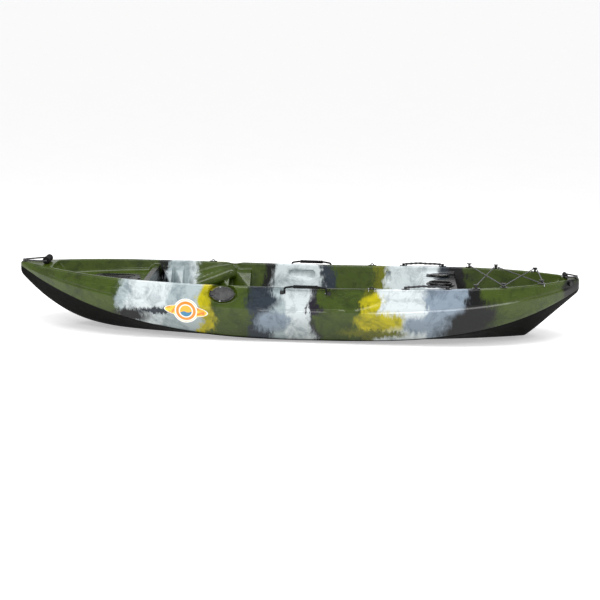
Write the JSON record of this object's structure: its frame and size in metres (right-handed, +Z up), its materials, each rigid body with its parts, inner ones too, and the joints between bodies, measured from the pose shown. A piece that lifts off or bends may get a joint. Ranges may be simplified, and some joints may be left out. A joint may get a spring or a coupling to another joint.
{
  "type": "sit-on-top fishing kayak",
  "caption": "Moulded sit-on-top fishing kayak with bow hatch, footwells, tank well with bungee, flush rod holders and carry handles.",
  "frame": {"origin": "on the ground under the middle of the hull", "axes": "+X from bow to stern, +Y to starboard, +Z up"},
  "size_m": [2.95, 0.7818, 0.3593],
  "materials": {
    "hull_plastic": "moulded camouflage swirl, glossy",
    "fitting_plastic": "fine moulded texture",
    "seal_rubber": "smooth",
    "grip_rubber": "ribbed",
    "webbing": "woven",
    "shock_cord": "braided sheath",
    "stainless_steel": "turned",
    "foam": "closed-cell"
  },
  "bodies": {
    "hull": {"hull_shell": "hull_plastic", "bow_hatch_frame": "fitting_plastic", "bow_hatch_seal": "seal_rubber", "bow_hatch_pin": "stainless_steel", "bow_hatch_screws": "stainless_steel", "deck_plate_ring": "fitting_plastic", "deck_plate_screws": "stainless_steel", "drain_socket": "fitting_plastic", "rod_holder_front_port": "fitting_plastic", "rod_holder_rear_port": "fitting_plastic", "rod_holder_front_starboard": "fitting_plastic", "rod_holder_rear_starboard": "fitting_plastic", "rod_cap_pins": "stainless_steel", "rod_holder_screws": "stainless_steel", "bow_handle_saddle": "fitting_plastic", "stern_handle_saddle": "fitting_plastic", "side_handle_mounts": "fitting_plastic", "side_handle_pins": "stainless_steel", "seat_eyes": "fitting_plastic", "lanyard_eye": "fitting_plastic", "tank_hooks": "fitting_plastic", "tank_bungee": "shock_cord", "keeper_cord_port": "shock_cord", "keeper_cord_starboard": "shock_cord", "keeper_posts": "fitting_plastic", "fitting_screws": "stainless_steel", "stern_foam_block": "foam", "footwell_foam_block": "foam"},
    "bow_hatch": {"bow_hatch_lid": "fitting_plastic"},
    "deck_plate_lift": {"deck_plate_gasket": "seal_rubber"},
    "deck_plate_cover": {"deck_plate_cover": "fitting_plastic"},
    "drain_plug": {"drain_plug": "fitting_plastic", "drain_washer": "seal_rubber"},
    "bow_handle": {"bow_handle_strap": "webbing", "bow_handle_grip": "grip_rubber"},
    "stern_handle": {"stern_handle_strap": "webbing", "stern_handle_grip": "grip_rubber"},
    "side_handle_port": {"side_handle_bail_port": "grip_rubber", "side_handle_grip_port": "grip_rubber"},
    "side_handle_starboard": {"side_handle_bail_starboard": "grip_rubber", "side_handle_grip_starboard": "grip_rubber"},
    "rod_cap_front_port": {"rod_cap_front_port": "fitting_plastic"},
    "rod_cap_rear_port": {"rod_cap_rear_port": "fitting_plastic"},
    "rod_cap_front_starboard": {"rod_cap_front_starboard": "fitting_plastic"},
    "rod_cap_rear_starboard": {"rod_cap_rear_starboard": "fitting_plastic"}
  },
  "joints": [
    {"name": "bow_hatch_hinge", "type": "hinge", "parent": "hull", "child": "bow_hatch", "pos_m": [-1.092, 0, 0.25], "axis": [0, -1, 0], "range_deg": [0, 105]},
    {"name": "deck_plate_lift", "type": "slide", "parent": "hull", "child": "deck_plate_lift", "axis": [0, 0, 1], "range_m": [0, 0.0125]},
    {"name": "deck_plate_turn", "type": "hinge", "parent": "deck_plate_lift", "child": "deck_plate_cover", "pos_m": [0.75, 0, 0.26], "axis": [0, 0, 1], "range_deg": [0, 720]},
    {"name": "drain_plug_pull", "type": "slide", "parent": "hull", "child": "drain_plug", "axis": [0.6984, -0.7157, 0], "range_m": [0, 0.018]},
    {"name": "rod_cap_front_port_hinge", "type": "hinge", "parent": "hull", "child": "rod_cap_front_port", "pos_m": [-0.428, -0.37189, 0.24872], "axis": [0, -0.4226, -0.9063], "range_deg": [0, 115]},
    {"name": "rod_cap_rear_port_hinge", "type": "hinge", "parent": "hull", "child": "rod_cap_rear_port", "pos_m": [0.687, -0.236, 0.2688], "axis": [0, -1, 0], "range_deg": [0, 115]},
    {"name": "rod_cap_front_starboard_hinge", "type": "hinge", "parent": "hull", "child": "rod_cap_front_starboard", "pos_m": [-0.428, 0.37189, 0.24872], "axis": [0, -0.4226, 0.9063], "range_deg": [0, 115]},
    {"name": "rod_cap_rear_starboard_hinge", "type": "hinge", "parent": "hull", "child": "rod_cap_rear_starboard", "pos_m": [0.687, 0.236, 0.2688], "axis": [0, -1, 0], "range_deg": [0, 115]},
    {"name": "bow_handle_pivot", "type": "hinge", "parent": "hull", "child": "bow_handle", "pos_m": [-1.455, 0, 0.33482], "axis": [0, -1, 0], "range_deg": [0, 120]},
    {"name": "stern_handle_pivot", "type": "hinge", "parent": "hull", "child": "stern_handle", "pos_m": [1.457, 0, 0.32345], "axis": [0, 1, 0], "range_deg": [0, 120]},
    {"name": "side_handle_port_pivot", "type": "hinge", "parent": "hull", "child": "side_handle_port", "pos_m": [0.055, -0.38188, 0.267], "axis": [1, 0, 0], "range_deg": [0, 105]},
    {"name": "side_handle_starboard_pivot", "type": "hinge", "parent": "hull", "child": "side_handle_starboard", "pos_m": [0.055, 0.38188, 0.267], "axis": [-1, 0, 0], "range_deg": [0, 105]}
  ],
  "couplings": [
    {"joint": "deck_plate_lift", "follows": "deck_plate_turn", "m_per_rad": 0.00095493}
  ]
}
